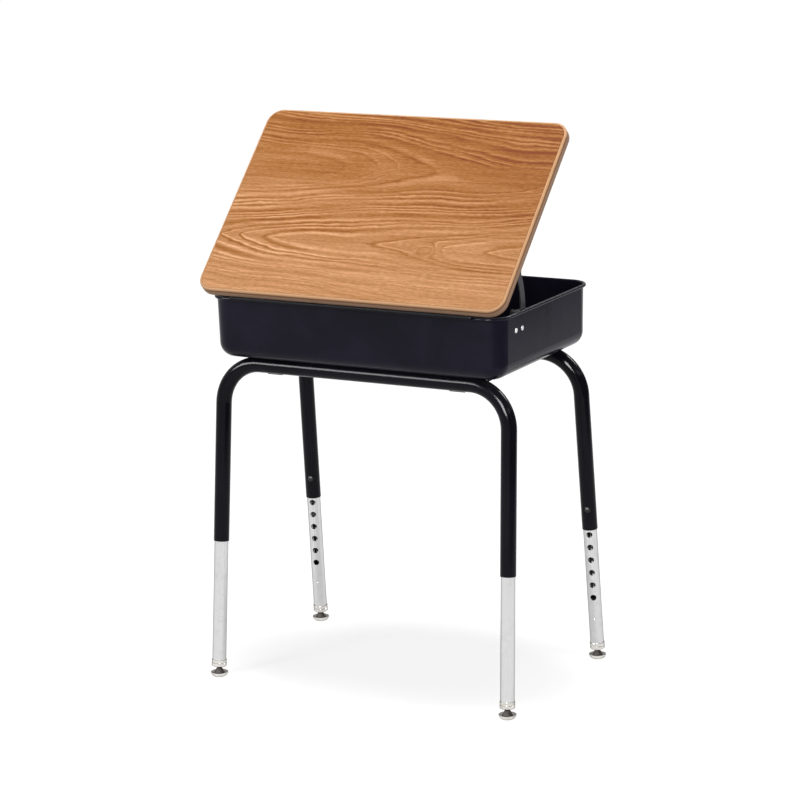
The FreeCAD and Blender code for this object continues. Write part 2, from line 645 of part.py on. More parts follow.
def stay_bracket():
    """Bent plate: its base lies on the drafted wall, then it steps inward to stand beside the arm."""
    near = RIVET_PLACES_Y[0] - BRACKET_MARGIN
    far = RIVET_PLACES_Y[-1] + BRACKET_MARGIN
    low = RIVET_HEIGHT - BRACKET_MARGIN
    bend = CLAMP_PIN_Z - BRACKET_BEND_DROP
    top = PAD_Z + BRACKET_END_RADIUS
    outer_x = BRACKET_INNER_X + BRACKET_THICKNESS
    step_top = bend + wall_inner_x(bend) - outer_x
    thin = BRACKET_THICKNESS / WALL_OUT.x
    shift = BRACKET_THICKNESS * math.tan(math.radians(22.5))
    section = [vec(wall_inner_x(low), 0, low),
               vec(wall_inner_x(bend), 0, bend),
               vec(outer_x, 0, step_top),
               vec(outer_x, 0, top),
               vec(BRACKET_INNER_X, 0, top),
               vec(BRACKET_INNER_X, 0, step_top - shift),
               vec(wall_inner_x(bend - shift) - thin, 0, bend - shift),
               vec(wall_inner_x(low) - thin, 0, low)]
    start = PAD_Y - BRACKET_END_RADIUS
    bent = Part.Face(Part.makePolygon(section + [section[0]])).extrude(FAR * (far - start))
    pad = vec(0, PAD_Y, PAD_Z)
    corner = vec(0, CLAMP_PIN_Y + HEEL_REACH + BRACKET_FAR_MARGIN, top)
    pad_top = pad + UP * BRACKET_END_RADIUS
    pad_low = pad - UP * BRACKET_END_RADIUS
    outline = closed_face([line(vec(0, near, low), vec(0, far, low)),
                           line(vec(0, far, low), vec(0, far, bend)),
                           line(vec(0, far, bend), corner),
                           line(corner, pad_top),
                           arc(pad_top, vec(0, start, PAD_Z), pad_low),
                           line(pad_low, vec(0, near, RIVET_HEIGHT)),
                           line(vec(0, near, RIVET_HEIGHT), vec(0, near, low))])
    plate = bent.translated(FAR * start).common(outline.extrude(RIGHT * BOX_HALF_X))
    pin_hole = drum(CLAMP_PIN_RADIUS + HOLE_CLEARANCE, BOX_HALF_X, vec(0, CLAMP_PIN_Y, CLAMP_PIN_Z), RIGHT)
    spigot_hole = drum(PAD_SPIGOT_DIAMETER / 2 + HOLE_CLEARANCE, BOX_HALF_X, pad, RIGHT)
    return plate.cut([pin_hole, spigot_hole] + [rivet_hole(y) for y in RIVET_PLACES_Y])


def friction_pads():
    """Two nylon discs that bear on the faces of the arm, each held by a spigot in its plate."""
    pads = []
    for way, face, plate in ((1, STAY_OUTER_X, BRACKET_THICKNESS), (-1, STAY_INNER_X, LEVER_THICKNESS)):
        pad = joined([drum(PAD_DIAMETER / 2, PAD_THICKNESS),
                      drum(PAD_SPIGOT_DIAMETER / 2, plate, UP * PAD_THICKNESS)])
        seat = vec(face + way * PAD_GAP, PAD_Y, PAD_Z)
        pad.Placement = FreeCAD.Placement(seat, FreeCAD.Rotation(UP, RIGHT * way))
        pads.append(pad)
    return pads


def clamp_lever():
    """Plate with a pad at one end; at the other a heel is bent outward against the bracket."""
    half = LEVER_WIDTH / 2
    pin_x = math.hypot(CLAMP_PIN_REACH, CLAMP_PIN_RISE)
    end_x = pin_x + HEEL_REACH
    outline = closed_face([line(vec(0, -half, 0), vec(end_x, -half, 0)),
                           line(vec(end_x, -half, 0), vec(end_x, half, 0)),
                           line(vec(end_x, half, 0), vec(0, half, 0)),
                           arc(vec(0, half, 0), vec(-half, 0, 0), vec(0, -half, 0))])
    heel = Part.makeBox(HEEL_THICKNESS, LEVER_WIDTH, BRACKET_INNER_X - LEVER_INNER_X,
                        vec(end_x - HEEL_THICKNESS, -half, 0))
    pin_hole = drum(CLAMP_PIN_RADIUS + HOLE_CLEARANCE, LEVER_THICKNESS, vec(pin_x, 0, 0))
    spigot_hole = drum(PAD_SPIGOT_DIAMETER / 2 + HOLE_CLEARANCE, LEVER_THICKNESS)
    lever = joined([outline.extrude(UP * LEVER_THICKNESS), heel]).cut([pin_hole, spigot_hole])
    along = vec(0, CLAMP_PIN_REACH, CLAMP_PIN_RISE).normalize()
    turn = FreeCAD.Rotation(along, RIGHT.cross(along), RIGHT, "ZXY")
    lever.Placement = FreeCAD.Placement(vec(LEVER_INNER_X, PAD_Y, PAD_Z), turn)
    return lever


def friction_pin():
    """Rivet through the bracket and the lever: tail outside, head inside over the springs."""
    outer_x = BRACKET_INNER_X + BRACKET_THICKNESS
    base = vec(SPRING_START_X, CLAMP_PIN_Y, CLAMP_PIN_Z)
    shank = drum(CLAMP_PIN_RADIUS, outer_x - SPRING_START_X, base, RIGHT)
    tail = drum(CLAMP_PIN_TAIL / 2, CLAMP_PIN_TAIL_HEIGHT, vec(outer_x, CLAMP_PIN_Y, CLAMP_PIN_Z), RIGHT)
    head = domed_head(CLAMP_PIN_HEAD / 2, CLAMP_PIN_HEAD_HEIGHT, base, RIGHT * -1)
    return joined([shank, tail, head])


def disc_springs():
    """Coned discs stacked face about between the lever and the pin's head."""
    bore = CLAMP_PIN_RADIUS + HOLE_CLEARANCE
    outer = SPRING_DIAMETER / 2
    discs = []
    for index in range(SPRING_COUNT):
        inner_lift = SPRING_CONE if index % 2 == 0 else 0
        outer_lift = SPRING_CONE - inner_lift
        disc = turned_solid([vec(bore, 0, inner_lift),
                             vec(outer, 0, outer_lift),
                             vec(outer, 0, outer_lift + SPRING_STOCK),
                             vec(bore, 0, inner_lift + SPRING_STOCK)])
        place = vec(SPRING_START_X + index * SPRING_PITCH, CLAMP_PIN_Y, CLAMP_PIN_Z)
        disc.Placement = FreeCAD.Placement(place, FreeCAD.Rotation(UP, RIGHT))
        discs.append(disc)
    return discs


# Hinge: leaves and knuckles lie about a line along X, with local Y = Z = 0 on it

def knuckle_places(lid_side):
    """Start of each knuckle of one leaf: the box leaf has the first and last, the lid leaf those between."""
    pitch = HINGE_LENGTH / HINGE_KNUCKLES
    first = 1 if lid_side else 0
    return [index * pitch - HINGE_LENGTH / 2 for index in range(first, HINGE_KNUCKLES, 2)]


def knuckles(lid_side):
    """Rolled knuckles of one leaf, each joined to the leaf by a short web."""
    length = HINGE_LENGTH / HINGE_KNUCKLES - KNUCKLE_END_GAP
    web_reach = KNUCKLE_RADIUS + KNUCKLE_SIDE_GAP
    web_low = LEAF_GAP / 2 if lid_side else -LID_LIFT
    solids = []
    for start in knuckle_places(lid_side):
        x = start + KNUCKLE_END_GAP / 2
        solids.append(drum(KNUCKLE_RADIUS, length, vec(x, 0, 0), RIGHT))
        solids.append(Part.makeBox(length, web_reach, LEAF_THICKNESS, vec(x, -web_reach, web_low)))
    return solids


def hinge_bore():
    radius = HINGE_PIN_DIAMETER / 2 + PIN_RUNNING_CLEARANCE
    return drum(radius, HINGE_LENGTH + 2 * OVERRUN, vec(-HINGE_LENGTH / 2 - OVERRUN, 0, 0), RIGHT)


def box_leaf():
    """Fixed leaf: over the rolled rim and down the inside of the wall, welded there."""
    edge = HINGE_OUT - KNUCKLE_RADIUS - KNUCKLE_SIDE_GAP
    outer = RIM_RADIUS + LEAF_THICKNESS
    slant = (UP - WALL_OUT).normalize()
    crown = RIM_CENTRE + UP * RIM_RADIUS
    skin = RIM_CENTRE - WALL_OUT * RIM_RADIUS
    foot = skin - WALL_UP * BOX_LEAF_DROP
    inner_foot = foot - WALL_OUT * LEAF_THICKNESS
    inner_skin = RIM_CENTRE - WALL_OUT * outer
    top = crown + UP * LEAF_THICKNESS
    outline = closed_face([line(vec(edge, 0, crown.z), crown),
                           arc(crown, RIM_CENTRE + slant * RIM_RADIUS, skin),
                           line(skin, foot),
                           line(foot, inner_foot),
                           line(inner_foot, inner_skin),
                           arc(inner_skin, RIM_CENTRE + slant * outer, top),
                           line(top, vec(edge, 0, top.z)),
                           line(vec(edge, 0, top.z), vec(edge, 0, crown.z))])
    leaf = outline.extrude(FAR * HINGE_LENGTH)
    leaf = leaf.translated(vec(-HINGE_OUT, -HINGE_LENGTH / 2, -top.z - LEAF_GAP / 2))
    leaf.rotate(ORIGIN, UP, 90)
    leaf = joined([leaf] + knuckles(False)).cut(hinge_bore())
    return leaf.translated(vec(0, HINGE_Y, HINGE_Z))


def hinge_pin():
    pin = drum(HINGE_PIN_DIAMETER / 2, HINGE_LENGTH, vec(-HINGE_LENGTH / 2, HINGE_Y, HINGE_Z), RIGHT)
    return pin


# Lid: modelled shut, with the hinge line as origin and the lid reaching towards -Y, then swung open

LID_CENTRE_Y = -LID_SETBACK - LID_DEPTH / 2
CORE_HALF_X = LID_WIDTH / 2 - BAND_CROWN
CORE_HALF_Y = LID_DEPTH / 2 - BAND_CROWN
CORE_CORNER = LID_CORNER - BAND_CROWN


def swung(shape):
    """Swing a lid piece from shut to the angle at which the lid stands, and set it on the hinge line."""
    moved = shape.copy()
    swing = FreeCAD.Placement(vec(0, HINGE_Y, HINGE_Z), FreeCAD.Rotation(RIGHT, -LID_OPEN_ANGLE))
    moved.Placement = swing * shape.Placement
    return moved


def hinge_screw_places():
    """Screw places along the lid leaf, evenly spread, in lid coordinates."""
    pitch = HINGE_LENGTH / HINGE_SCREWS
    y = -KNUCKLE_RADIUS - KNUCKLE_SIDE_GAP - LID_LEAF_WIDTH + HINGE_SCREW_INSET
    return [vec((index + 0.5) * pitch - HINGE_LENGTH / 2, y, LEAF_GAP / 2) for index in range(HINGE_SCREWS)]


def ear_starts():
    """Where each ear of a stay arm begins along Y, in lid coordinates: at both ends of the root."""
    return [-STAY_RADIUS - STAY_ROOT_FAR, -STAY_RADIUS + STAY_ROOT_NEAR - STAY_EAR_WIDTH]


def stay_screw_places(side):
    """Centre of each ear of a stay arm, on the ear's lower face, in lid coordinates."""
    x = side * (STAY_INNER_X - STAY_SCREW_INSET)
    return [vec(x, start + STAY_EAR_WIDTH / 2, LID_LIFT - STAY_THICKNESS) for start in ear_starts()]


def wood_screw(place):
    head = recessed_head(WOOD_SCREW_HEAD / 2, WOOD_SCREW_HEAD_HEIGHT, place, UP * -1)
    return joined([drum(WOOD_SCREW_SHANK / 2, WOOD_SCREW_LENGTH, place), head])


def screw_holes(places):
    depth = WOOD_SCREW_LENGTH + OVERRUN / 2
    return [drum(WOOD_SCREW_SHANK / 2 + HOLE_CLEARANCE, depth, place - UP * OVERRUN / 2) for place in places]


def all_wood_screw_places():
    return hinge_screw_places() + stay_screw_places(-1) + stay_screw_places(1)


def lid_core():
    """Core board with a groove all round for the band's tongue and pilot holes for the screws."""
    thickness = LID_THICKNESS - 2 * LAMINATE
    core = rounded_plate(CORE_HALF_X, CORE_HALF_Y, CORE_CORNER, LID_CENTRE_Y, LID_LIFT + LAMINATE, thickness)
    half = BAND_TONGUE_THICKNESS / 2 + GROOVE_CLEARANCE
    middle = LID_LIFT + LID_THICKNESS / 2
    depth = BAND_TONGUE_DEPTH + GROOVE_CLEARANCE
    corners = [vec(-depth, 0, -half), vec(OVERRUN, 0, -half), vec(OVERRUN, 0, half), vec(-depth, 0, half)]
    groove = Part.Face(Part.makePolygon(corners + [corners[0]]))
    cuts = ring_of(groove, CORE_HALF_X, CORE_HALF_Y, CORE_CORNER, LID_CENTRE_Y, middle)
    return core.cut(cuts + screw_holes(all_wood_screw_places()))


def lid_laminate():
    top = LID_LIFT + LID_THICKNESS - LAMINATE
    return rounded_plate(CORE_HALF_X, CORE_HALF_Y, CORE_CORNER, LID_CENTRE_Y, top, LAMINATE)


def lid_backing_sheet():
    sheet = rounded_plate(CORE_HALF_X, CORE_HALF_Y, CORE_CORNER, LID_CENTRE_Y, LID_LIFT, LAMINATE)
    return sheet.cut(screw_holes(all_wood_screw_places()))


def lid_edge_band():
    """Rounded band with a tongue: one profile carried round the core."""
    half = BAND_TONGUE_THICKNESS / 2
    middle = LID_THICKNESS / 2
    flat = BAND_CROWN - BAND_ROUND
    diagonal = BAND_ROUND * math.cos(math.radians(45))
    low = vec(flat, 0, BAND_ROUND)
    high = vec(flat, 0, LID_THICKNESS - BAND_ROUND)
    points = [vec(flat, 0, LID_THICKNESS), vec(0, 0, LID_THICKNESS), vec(0, 0, middle + half),
              vec(-BAND_TONGUE_DEPTH, 0, middle + half), vec(-BAND_TONGUE_DEPTH, 0, middle - half),
              vec(0, 0, middle - half), vec(0, 0, 0), vec(flat, 0, 0)]
    edges = [line(start, end) for start, end in zip(points, points[1:])]
    edges.append(arc(points[-1], low + vec(diagonal, 0, -diagonal), low + RIGHT * BAND_ROUND))
    edges.append(line(low + RIGHT * BAND_ROUND, high + RIGHT * BAND_ROUND))
    edges.append(arc(high + RIGHT * BAND_ROUND, high + vec(diagonal, 0, diagonal), points[0]))
    return joined(ring_of(closed_face(edges), CORE_HALF_X, CORE_HALF_Y, CORE_CORNER, LID_CENTRE_Y, LID_LIFT))


def lid_leaf():
    """Leaf screwed under the lid, with the knuckles between those of the box leaf."""
    edge = KNUCKLE_RADIUS + KNUCKLE_SIDE_GAP
    low = LEAF_GAP / 2
    leaf = Part.makeBox(HINGE_LENGTH, LID_LEAF_WIDTH, LEAF_THICKNESS,
                        vec(-HINGE_LENGTH / 2, -edge - LID_LEAF_WIDTH, low))
    leaf = joined([leaf] + knuckles(True))
    return leaf.cut([hinge_bore()] + screw_holes(hinge_screw_places()))


def lid_bumpers():
    """Two rubber buttons under the lid that meet the front rim when the lid is shut."""
    rim_y = BOX_SHIFT_Y - BOX_HALF_Y - RIM_PROUD + RIM_RADIUS
    low = RIM_TOP + BUMPER_REST_GAP - HINGE_Z
    return [drum(BUMPER_DIAMETER / 2, LID_LIFT - low, vec(side * BUMPER_X, rim_y - HINGE_Y, low))
            for side in (-1, 1)]


def polar(radius, angle):
    """Point at a radius from the hinge line, at an angle below the shut lid."""
    turn = math.radians(angle)
    return vec(0, -radius * math.cos(turn), -radius * math.sin(turn))


def stay_root(shoulder):
    """Corners of the arm's root under the lid, between the ends of the strip: notched beside each ear."""
    far = -STAY_RADIUS - STAY_ROOT_FAR
    near = -STAY_RADIUS + STAY_ROOT_NEAR
    low = shoulder - STAY_ROOT_DEPTH
    top = LID_LIFT - STAY_TOP_GAP
    clear = STAY_EAR_WIDTH + STAY_NOTCH_WIDTH
    return [vec(0, near, low),
            vec(0, near, shoulder),
            vec(0, near - clear, shoulder),
            vec(0, near - clear, top),
            vec(0, far + clear, top),
            vec(0, far + clear, shoulder),
            vec(0, far, shoulder),
            vec(0, far, low)]


def stay_arm():
    """Right-hand arm: a curved strip, a hook that meets the friction pin, and ears bent under the lid."""
    shoulder = LID_LIFT - STAY_BEND_INNER - STAY_THICKNESS
    inner = STAY_RADIUS - STAY_WIDTH / 2
    outer = STAY_RADIUS + STAY_WIDTH / 2
    pad_turn = math.degrees(PAD_DIAMETER / 2 / STAY_RADIUS)
    strip_last = LID_STOP_ANGLE + PAD_ANGLE
    pin_turn = math.degrees((CLAMP_PIN_RADIUS + HOOK_GAP) / CLAMP_PIN_ARM)
    hook_first = LID_STOP_ANGLE + CLAMP_PIN_ANGLE + pin_turn
    hook_last = hook_first + math.degrees(HOOK_DEPTH / CLAMP_PIN_ARM)
    corners = [polar(outer, strip_last),
               polar(STAY_RADIUS, strip_last + pad_turn),
               polar(CLAMP_PIN_ARM, hook_last),
               polar(CLAMP_PIN_ARM, hook_first),
               polar(inner, hook_first)]
    root = [polar(inner, STAY_ROOT_ANGLE)] + stay_root(shoulder) + [polar(outer, STAY_ROOT_ANGLE)]
    edges = [line(start, end) for start, end in zip(corners, corners[1:])]
    edges.append(arc(corners[-1], polar(inner, (hook_first + STAY_ROOT_ANGLE) / 2), root[0]))
    edges.extend(line(start, end) for start, end in zip(root, root[1:]))
    edges.append(arc(root[-1], polar(outer, (STAY_ROOT_ANGLE + strip_last) / 2), corners[0]))
    web = closed_face(edges).extrude(RIGHT * STAY_THICKNESS).translated(RIGHT * STAY_INNER_X)
    arm = joined([web] + [stay_ear(start, shoulder) for start in ear_starts()])
    return arm.cut(screw_holes(stay_screw_places(1)))


def stay_ear(start, shoulder):
    """Ear bent inward from the top of the plate until it lies flat under the lid."""
    bend_outer = STAY_BEND_INNER + STAY_THICKNESS
    centre = vec(STAY_OUTER_X - bend_outer, 0, shoulder)
    slant = (RIGHT + UP).normalize()
    tip_x = STAY_INNER_X - STAY_EAR_REACH
    low = LID_LIFT - STAY_THICKNESS
    bend_side = centre + RIGHT * bend_outer
    bend_top = centre + UP * bend_outer
    outline = closed_face([line(centre + RIGHT * STAY_BEND_INNER, bend_side),
                           arc(bend_side, centre + slant * bend_outer, bend_top),
                           line(bend_top, vec(tip_x, 0, LID_LIFT)),
                           line(vec(tip_x, 0, LID_LIFT), vec(tip_x, 0, low)),
                           line(vec(tip_x, 0, low), centre + UP * STAY_BEND_INNER),
                           arc(centre + UP * STAY_BEND_INNER, centre + slant * STAY_BEND_INNER,
                               centre + RIGHT * STAY_BEND_INNER)])
    return outline.extrude(FAR * STAY_EAR_WIDTH).translated(FAR * start)


# Assembly: every sub-part is written to its own file

def export(name, solids):
    shape = Part.makeCompound(solids) if isinstance(solids, list) else solids
    shape.exportStep("parts/" + name + ".step")


def export_frames():
    rods = [frame_rod(end, UPPER_RADIUS) for end in (-1, 1)]
    for end in (-1, 1):
        export("leg_frame_" + END_NAMES[end], leg_frame_tube(end))
    for side in (-1, 1):
        export("cross_strap_" + SIDE_NAMES[side], cross_strap(side, rods))
        for end in (-1, 1):
            export("box_tab_" + END_NAMES[end] + "_" + SIDE_NAMES[side], box_tab(side, end, rods))


def export_box():
    corners = [(side, end) for side in (-1, 1) for end in (-1, 1)]
    export("book_box", book_box())
    export("box_screws", [box_screw(side, end) for side, end in corners])
    export("box_nuts", [box_nut(side, end) for side, end in corners])
    export("adjusting_screws", [adjusting_screw(side, end) for side, end in corners])
    rivets = [mirrored(bracket_rivet(y), side) for side in (-1, 1) for y in RIVET_PLACES_Y]
    export("bracket_rivets", rivets)
    for side in (-1, 1):
        export("stay_bracket_" + SIDE_NAMES[side], mirrored(stay_bracket(), side))
        export("friction_pin_" + SIDE_NAMES[side], mirrored(friction_pin(), side))
        export("friction_pads_" + SIDE_NAMES[side], [mirrored(part, side) for part in friction_pads()])
        export("clamp_lever_" + SIDE_NAMES[side], mirrored(clamp_lever(), side))
        export("disc_springs_" + SIDE_NAMES[side], [mirrored(part, side) for part in disc_springs()])
    export("hinge_box_leaf", box_leaf())
    export("hinge_pin", hinge_pin())


def export_lid():
    export("lid_core", swung(lid_core()))
    export("lid_laminate", swung(lid_laminate()))
    export("lid_backing_sheet", swung(lid_backing_sheet()))
    export("lid_edge_band", swung(lid_edge_band()))
    export("lid_bumpers", [swung(part) for part in lid_bumpers()])
    export("hinge_lid_leaf", swung(lid_leaf()))
    export("hinge_screws", [swung(wood_screw(place)) for place in hinge_screw_places()])
    stay_places = stay_screw_places(-1) + stay_screw_places(1)
    export("stay_arm_screws", [swung(wood_screw(place)) for place in stay_places])
    for side in (-1, 1):
        export("stay_arm_" + SIDE_NAMES[side], swung(mirrored(stay_arm(), side)))


def export_legs():
    for side in (-1, 1):
        for end in (-1, 1):
            corner = END_NAMES[end] + "_" + SIDE_NAMES[side]
            export("lower_leg_" + corner, lower_leg(side, end))
            export("glide_collar_" + corner, glide_collar(side, end))
            export("glide_stud_" + corner, glide_stud(side, end))
            export("glide_cushion_" + corner, glide_cushion(side, end))
            export("glide_base_" + corner, glide_base(side, end))


os.makedirs("parts", exist_ok=True)
export_frames()
export_box()
export_lid()
export_legs()
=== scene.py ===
import json
import math

import bpy
from mathutils import Matrix, Vector


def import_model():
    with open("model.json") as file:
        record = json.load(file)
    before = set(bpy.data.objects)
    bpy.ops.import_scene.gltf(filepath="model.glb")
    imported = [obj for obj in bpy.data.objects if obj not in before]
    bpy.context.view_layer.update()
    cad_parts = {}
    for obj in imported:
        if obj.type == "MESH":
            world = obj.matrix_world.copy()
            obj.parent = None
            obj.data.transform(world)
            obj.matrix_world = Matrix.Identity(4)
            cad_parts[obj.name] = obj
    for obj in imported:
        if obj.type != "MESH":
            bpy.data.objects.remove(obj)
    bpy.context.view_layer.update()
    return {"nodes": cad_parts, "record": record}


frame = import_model()

# Camera at the photograph's viewing angle: metres and degrees in the desk's frame
CAMERA_PLACE = (-2.60655, 4.79056, 1.78122)
CAMERA_AZIMUTH = 208.6
CAMERA_ELEVATION = 13.15
CAMERA_ROLL = 1.48
CAMERA_LENS = 138.96
CAMERA_SENSOR = 36.0
CAMERA_REACH = 60.0

# The lid in metres, its hinge line in the desk's frame, and the degrees at which it stands
HINGE_PLACE = (0.0, 0.193, 0.71415)
LID_OPEN_ANGLE = 44.6
LID_WIDTH = 0.6096
LID_DEPTH = 0.4064
LID_CORNER = 0.03
LID_SETBACK = 0.0016
BAND_DEPTH = 0.0045
SEAM_WIDTH = 0.0009
RING_LINE_WIDTH = 0.0018

# Heights over the hinge line at which the edge band's painted shade near its foot, its dark line and its lip
# (partly painted highlight) start and end
LOW_EDGE_SHADE = (0.002, 0.010)
UNDER_LINE = (0.0125, 0.0155)
LIP_FOOT = (0.0165, 0.0185)

# Veneer colours from dark latewood to the palest earlywood
WOOD_TONES = [(0.1, (0.28, 0.075, 0.022)), (0.3, (0.42, 0.16, 0.037)), (0.5, (0.555, 0.247, 0.092)),
              (0.7, (0.728, 0.36, 0.165)), (0.9, (0.93, 0.52, 0.28))]

CHIP_TONES = [(0.1, (0.22, 0.13, 0.065)), (0.5, (0.42, 0.28, 0.15)), (0.9, (0.6, 0.44, 0.27))]
BACKING_TONES = [(0.3, (0.1, 0.066, 0.045)), (0.7, (0.19, 0.128, 0.088))]

# Waves that bend the rings: repeats per metre on each axis, detail, roughness, and how far they swing
WAVES = {
    "slow": ((3.2, 7.0, 1), 2.0, 0.4, 0.085),
    "ripple": ((6, 34, 1), 2.0, 0.45, 1.35),
    "quiver": ((30, 140, 1), 2.0, 0.5, 0.55),
}

# Tone layers of the veneer: repeats, detail, roughness, offset of the noise, and how far they swing
GRAINS = {
    "streaks": ((7, 190, 1), 5.0, 0.6, (0, 0, 0), 0.52),
    "fibres": ((50, 1300, 1), 3.0, 0.6, (0, 0, 0), 0.36),
    "flecks": ((100, 500, 1), 2.0, 0.5, (0, 0, 0), 0.45),
    "bands": ((2.5, 22, 1), 3.0, 0.5, (7, 2, 0), 0.38),
}
PORES = ((210, 1900, 1), 1.0, 0.4)

# Growth rings: the share of the print's height at which a cathedral's axis lies, the turn over that
# height in radians, the rings that a cathedral spans and that its arches climb along the print, the
# rings round the eye, and the rings per metre at the most, at the eye and at the least
AXIS_SHARE = 0.3
PRINT_TURN = 7.85
CATHEDRAL_RINGS = 13.0
CLIMB_RINGS = 6.0
EYE_RINGS = 1.7
RINGS_PER_METRE = 126.0
EYE_RINGS_PER_METRE = 60.0
LEAST_RINGS_PER_METRE = 13.0

# Spots of the veneer's figure: centre and width, each a share of the lid along and up the print
DIP_SHARES = ((0.86, 0.73), (0.15, 0.12))
EYE_SHARES = ((0.7, 0.29), (0.035, 0.028))
CLEAR_SHARES = ((0.15, 0.3), (0.25, 0.13))
PLAIN_SHARES = ((0.2, 0.7), (0.3, 0.09))

# Floor: a fainter glow in an oval pool under the desk, a painted shadow there, which fades out between two
# shares of the oval
FLOOR_HALF_SIZE = 14.0
FLOOR_GREY = (0.38, 0.38, 0.38)
FLOOR_GLOW_IN_SHADOW_POOL = 0.72
FLOOR_GLOW_FAR = 0.86
SHADOW_POOL_HALF_SIZE = (0.37, 0.25)
SHADOW_POOL_FADE_SHARES = (0.7, 1.25)

# World: its level as light and in reflections, and the steepness of view at which it dims overhead
WORLD_LEVEL = 0.5
WORLD_IN_REFLECTIONS = 0.85
WORLD_OVERHEAD = 0.35
OVERHEAD_RISE = (0.35, 0.8)

# Upright cards, the dark ones to shade reflections and the bright ones for streaks:
# foot and top over the floor, and emission strength
DARK_CARD = (0.12, 1.0, 0.15)
GREY_CARD = (0.12, 1.0, 0.04)
BAND_LEFT = (1.45, 2.45, 33.0)
BAND_RIGHT = (1.2, 2.6, 60.0)
REAR_LIGHT = (2.0, 2.9, 20.0)

# Floor points under the cards, and the arcs of the bands in degrees from the hinge side
DARK_LINE = [(-1.3, -1.47), (-1.3, 1.5)]
GREY_LINE = [(-1.3, -4.0), (-1.3, -1.48)]
REAR_LINE = [(-1.9, -1.9), (-0.5, -2.2)]
BAND_LEFT_ARC = (-62, -16)
BAND_RIGHT_ARC = (10, 32)
BAND_RADIUS = 3.3
BAND_STEPS = 8

# Lamps: place, size in metres and power in watts
LAMP_TARGET = (0, 0, 0.6)
LAMPS = {
    "lamp_above": ((-0.1, 0.35, 3.0), (1.4, 0.22), 27.0),
    "lamp_left": ((1.6, 3.2, 2.0), (0.8, 1.4), 26.0),
    "lamp_right": ((-3.4, 0.6, 1.6), (1.2, 1.6), 21.0),
}


class Graph:
    """Node tree of a material or world, with short calls to add nodes and feed their sockets."""

    def __init__(self, owner, output="OutputMaterial"):
        self.owner = owner
        owner.use_nodes = True
        self.tree = owner.node_tree
        self.tree.nodes.clear()
        self.output = self.add(output)

    def feed(self, socket, value):
        if isinstance(value, bpy.types.NodeSocket):
            self.tree.links.new(value, socket)
        else:
            socket.default_value = value

    def add(self, kind, inputs=None, **settings):
        node = self.tree.nodes.new("ShaderNode" + kind)
        for key, value in settings.items():
            setattr(node, key, value)
        for key, value in (inputs or {}).items():
            self.feed(node.inputs[key], value)
        return node

    def math(self, operation, first, second=0.0, third=0.0, clamp=False):
        node = self.add("Math", {0: first, 1: second, 2: third}, operation=operation, use_clamp=clamp)
        return node.outputs[0]

    def times(self, first, second):
        return self.math("MULTIPLY", first, second)

    def fade(self, value, low, high, to_low=0.0, to_high=1.0):
        """Smooth step of a value from one range to another."""
        node = self.add("MapRange", {"Value": value, "From Min": low, "From Max": high,
                                     "To Min": to_low, "To Max": to_high}, interpolation_type="SMOOTHSTEP")
        return node.outputs["Result"]

    def place(self, scale=(1, 1, 1), location=(0, 0, 0), source=None):
        """Object coordinates: metres in the desk's frame, which move with the piece."""
        start = source or self.add("TexCoord").outputs["Object"]
        node = self.add("Mapping", {"Vector": start, "Location": location, "Scale": scale})
        return node.outputs["Vector"]

    def height(self, vector):
        return self.add("SeparateXYZ", {0: vector}).outputs[2]

    def noise(self, where, scale, detail=4.0, rough=0.55, warp=0.0):
        node = self.add("TexNoise", {"Vector": where, "Scale": scale, "Detail": detail,
                                     "Roughness": rough, "Distortion": warp})
        return node.outputs["Fac"]

    def stretched(self, where, repeats, detail=4.0, rough=0.55, location=(0, 0, 0)):
        """Noise with its own number of repeats per metre on each axis."""
        return self.noise(self.place(scale=repeats, source=where, location=location), 1.0, detail, rough)

    def mix(self, share, first, second):
        """Blend of two colours: the Mix node's sockets 6 and 7 are its colours, and output 2 the result."""
        return self.add("Mix", {0: share, 6: first, 7: second}, data_type="RGBA").outputs[2]

    def choose(self, share, first, second):
        """Blend of two numbers."""
        return self.add("Mix", {0: share, 2: first, 3: second}, data_type="FLOAT").outputs[0]

    def ramp(self, value, stops):
        node = self.add("ValToRGB", {"Fac": value})
        elements = node.color_ramp.elements
        while len(elements) < len(stops):
            elements.new(0.5)
        for element, (position, colour) in zip(elements, stops):
            element.position = position
            element.color = rgba(colour)
        return node.outputs["Color"]

    def bump(self, height, depth, share=1.0):
        node = self.add("Bump", {"Height": height, "Distance": depth, "Strength": share})
        return node.outputs["Normal"]

    def show(self, shader):
        """Lead a shader to the output, and give back the finished material or world."""
        self.tree.links.new(shader.outputs[0], self.output.inputs["Surface"])
        return self.owner

    def surface(self, **inputs):
        """Principled surface: an input is named like its socket, with underscores for spaces."""
        sockets = {key.replace("_", " "): value for key, value in inputs.items()}
        return self.show(self.add("BsdfPrincipled", sockets))


def rgba(colour):
    return (*colour, 1.0)


def tinted(colour, factor):
    return rgba(tuple(factor * part for part in colour))


def material_graph(name):
    return Graph(bpy.data.materials.new(name))


# Materials

def lid_coordinates(graph):
    """Lid coordinates in metres: X across, Y from the hinge line (negative towards the sitter), Z up."""
    centred = graph.add("VectorMath", {0: graph.add("TexCoord").outputs["Object"], 1: HINGE_PLACE},
                        operation="SUBTRACT").outputs[0]
    turned = graph.add("VectorRotate", {"Vector": centred, "Angle": math.radians(LID_OPEN_ANGLE)},
                       rotation_type="X_AXIS").outputs[0]
    return turned


def bell(graph, value, centre, width):
    """One at a centre value, falling away smoothly on both sides."""
    offset = graph.math("DIVIDE", graph.math("SUBTRACT", value, centre), width)
    return graph.math("POWER", math.e, graph.times(graph.times(offset, offset), -1.0))


def spot(graph, along, up, shares):
    """One at a spot of the veneer print, falling away smoothly on all sides."""
    centre, width = shares
    return graph.times(bell(graph, along, centre[0], width[0]), bell(graph, up, centre[1], width[1]))


def swing(graph, value, amount):
    """A noise value made to swing either side of zero."""
    return graph.times(graph.math("SUBTRACT", value, 0.5), amount)


